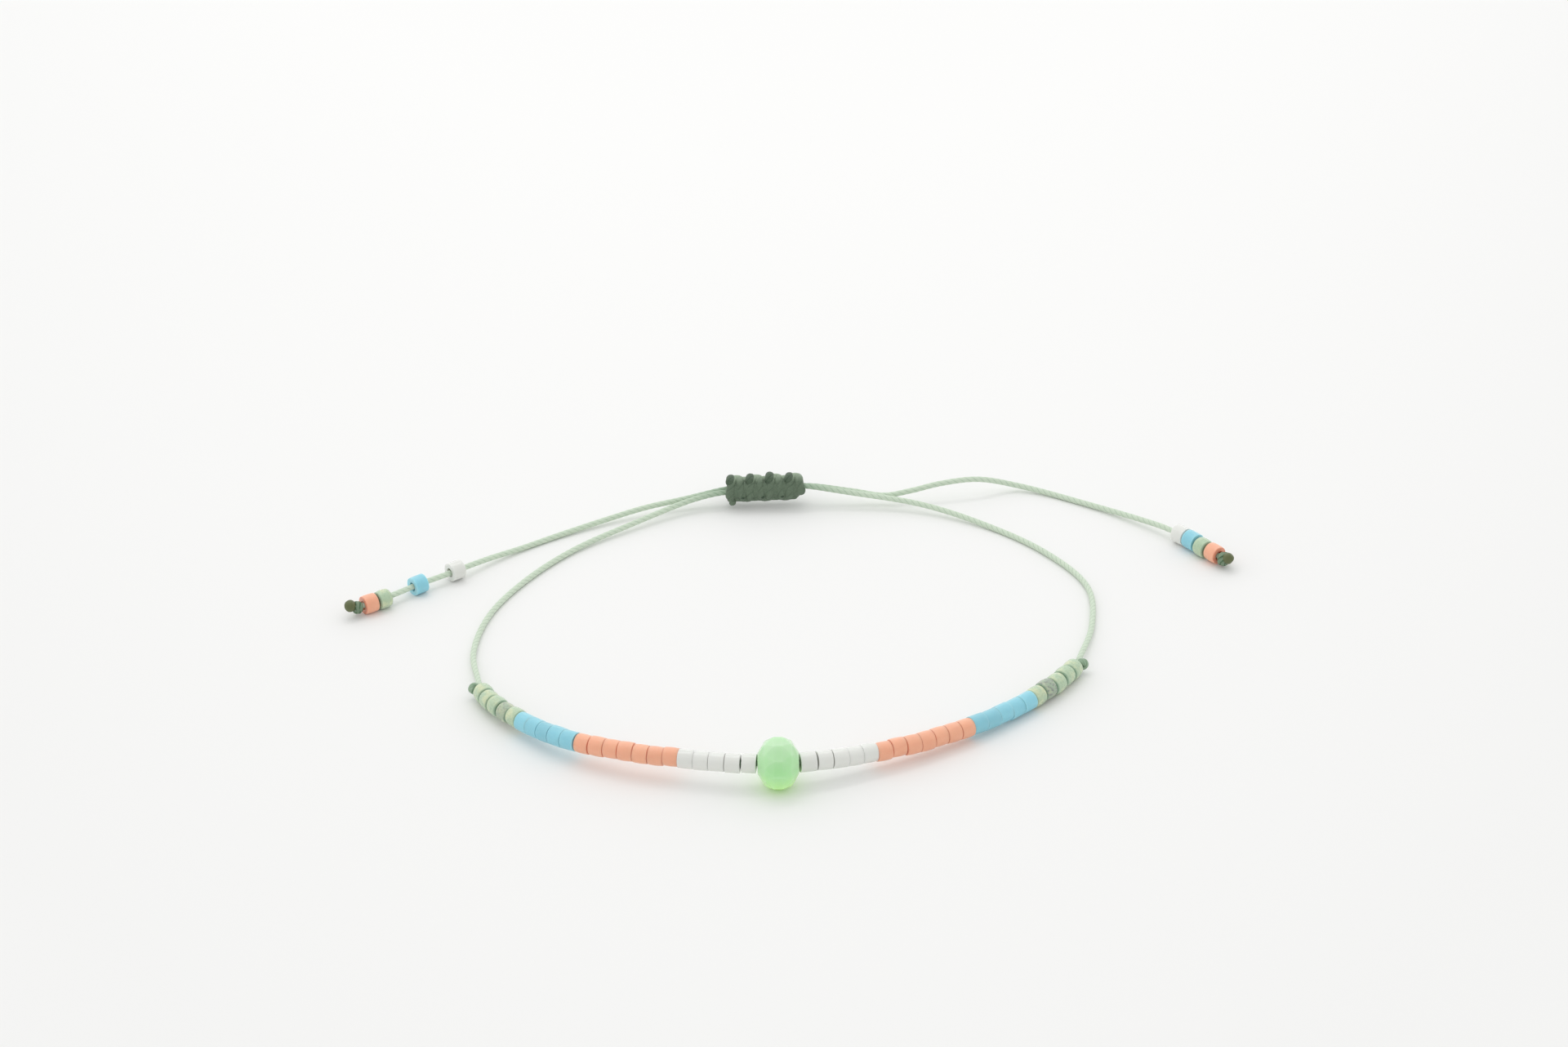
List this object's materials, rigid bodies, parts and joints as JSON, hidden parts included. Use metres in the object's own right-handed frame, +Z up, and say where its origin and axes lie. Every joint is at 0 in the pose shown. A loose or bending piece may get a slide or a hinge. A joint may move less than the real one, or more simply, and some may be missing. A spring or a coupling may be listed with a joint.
{
  "type": "beaded cord bracelet",
  "caption": "Thin adjustable cord bracelet strung with small cylinder beads and a faceted centre bead, closed by a macrame sliding knot with beaded tails.",
  "frame": {"origin": "on the surface that the bracelet lies on, under the middle of the closed loop, tails left out", "axes": "+X to the right seen from the centre bead's side, +Y from the centre bead to the sliding knot, +Z up"},
  "size_m": [0.0756, 0.0495, 0.0042],
  "materials": {
    "mint_glass": "cut and polished translucent glass",
    "white_glass": "glossy opaque glass",
    "coral_glass": "satin opaque glass",
    "blue_glass": "satin opaque glass",
    "sage_glass": "lustre coated glass",
    "sage_cord": "waxed twisted cord",
    "knotted_cord": "waxed cord, knotted tight"
  },
  "bodies": {
    "root": {"rondelle": "mint_glass", "bead_left_white_1": "white_glass", "bead_left_white_2": "white_glass", "bead_left_white_3": "white_glass", "bead_left_white_4": "white_glass", "bead_left_white_5": "white_glass", "bead_left_coral_1": "coral_glass", "bead_left_coral_2": "coral_glass", "bead_left_coral_3": "coral_glass", "bead_left_coral_4": "coral_glass", "bead_left_coral_5": "coral_glass", "bead_left_coral_6": "coral_glass", "bead_left_coral_7": "coral_glass", "bead_left_blue_1": "blue_glass", "bead_left_blue_2": "blue_glass", "bead_left_blue_3": "blue_glass", "bead_left_blue_4": "blue_glass", "bead_left_blue_5": "blue_glass", "bead_left_sage_1": "sage_glass", "bead_left_sage_2": "sage_glass", "bead_left_sage_3": "sage_glass", "bead_left_sage_4": "sage_glass", "bead_left_sage_5": "sage_glass", "bead_right_white_1": "white_glass", "bead_right_white_2": "white_glass", "bead_right_white_3": "white_glass", "bead_right_white_4": "white_glass", "bead_right_white_5": "white_glass", "bead_right_coral_1": "coral_glass", "bead_right_coral_2": "coral_glass", "bead_right_coral_3": "coral_glass", "bead_right_coral_4": "coral_glass", "bead_right_coral_5": "coral_glass", "bead_right_coral_6": "coral_glass", "bead_right_coral_7": "coral_glass", "bead_right_blue_1": "blue_glass", "bead_right_blue_2": "blue_glass", "bead_right_blue_3": "blue_glass", "bead_right_blue_4": "blue_glass", "bead_right_blue_5": "blue_glass", "bead_right_sage_1": "sage_glass", "bead_right_sage_2": "sage_glass", "bead_right_sage_3": "sage_glass", "bead_right_sage_4": "sage_glass", "bead_right_sage_5": "sage_glass", "core_thread": "sage_cord", "left_cord": "sage_cord", "right_cord": "sage_cord", "slider_knot": "knotted_cord", "tail_left_white": "white_glass", "tail_left_blue": "blue_glass", "tail_left_sage": "sage_glass", "tail_left_coral": "coral_glass", "tail_right_white": "white_glass", "tail_right_blue": "blue_glass", "tail_right_sage": "sage_glass", "tail_right_coral": "coral_glass", "end_knot_left": "knotted_cord", "end_knot_right": "knotted_cord"}
  },
  "joints": []
}
